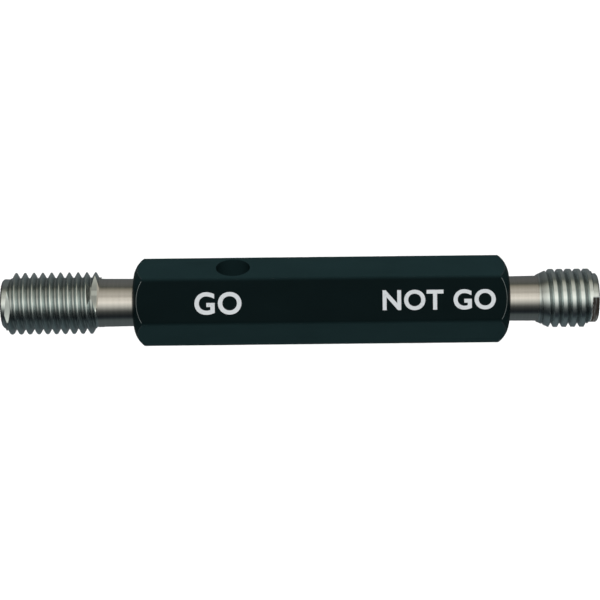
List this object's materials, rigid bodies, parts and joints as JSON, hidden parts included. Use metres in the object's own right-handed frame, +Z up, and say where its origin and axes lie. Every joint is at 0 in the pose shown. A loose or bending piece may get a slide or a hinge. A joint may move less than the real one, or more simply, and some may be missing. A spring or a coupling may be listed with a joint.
{
  "type": "thread plug gauge",
  "caption": "Double-ended M14 x 2 thread plug gauge: GO and NOT GO threaded plugs on taper shanks, seated in a black anodised hexagonal aluminium handle with a cross drift hole.",
  "frame": {"origin": "middle of the flat of the hexagonal handle that the gauge lies on, half way along the handle", "axes": "+X runs along the axis from the GO plug to the NOT GO plug, +Z points up out of the flat that the gauge lies on, and +Y points to the side whose upper face has the cross hole"},
  "size_m": [0.1344, 0.0198, 0.0175],
  "materials": {
    "black_anodised": "satin",
    "go_steel": "ground",
    "not_go_steel": "ground"
  },
  "bodies": {
    "root": {"handle": "black_anodised", "go_plug": "go_steel", "not_go_plug": "not_go_steel"}
  },
  "joints": []
}
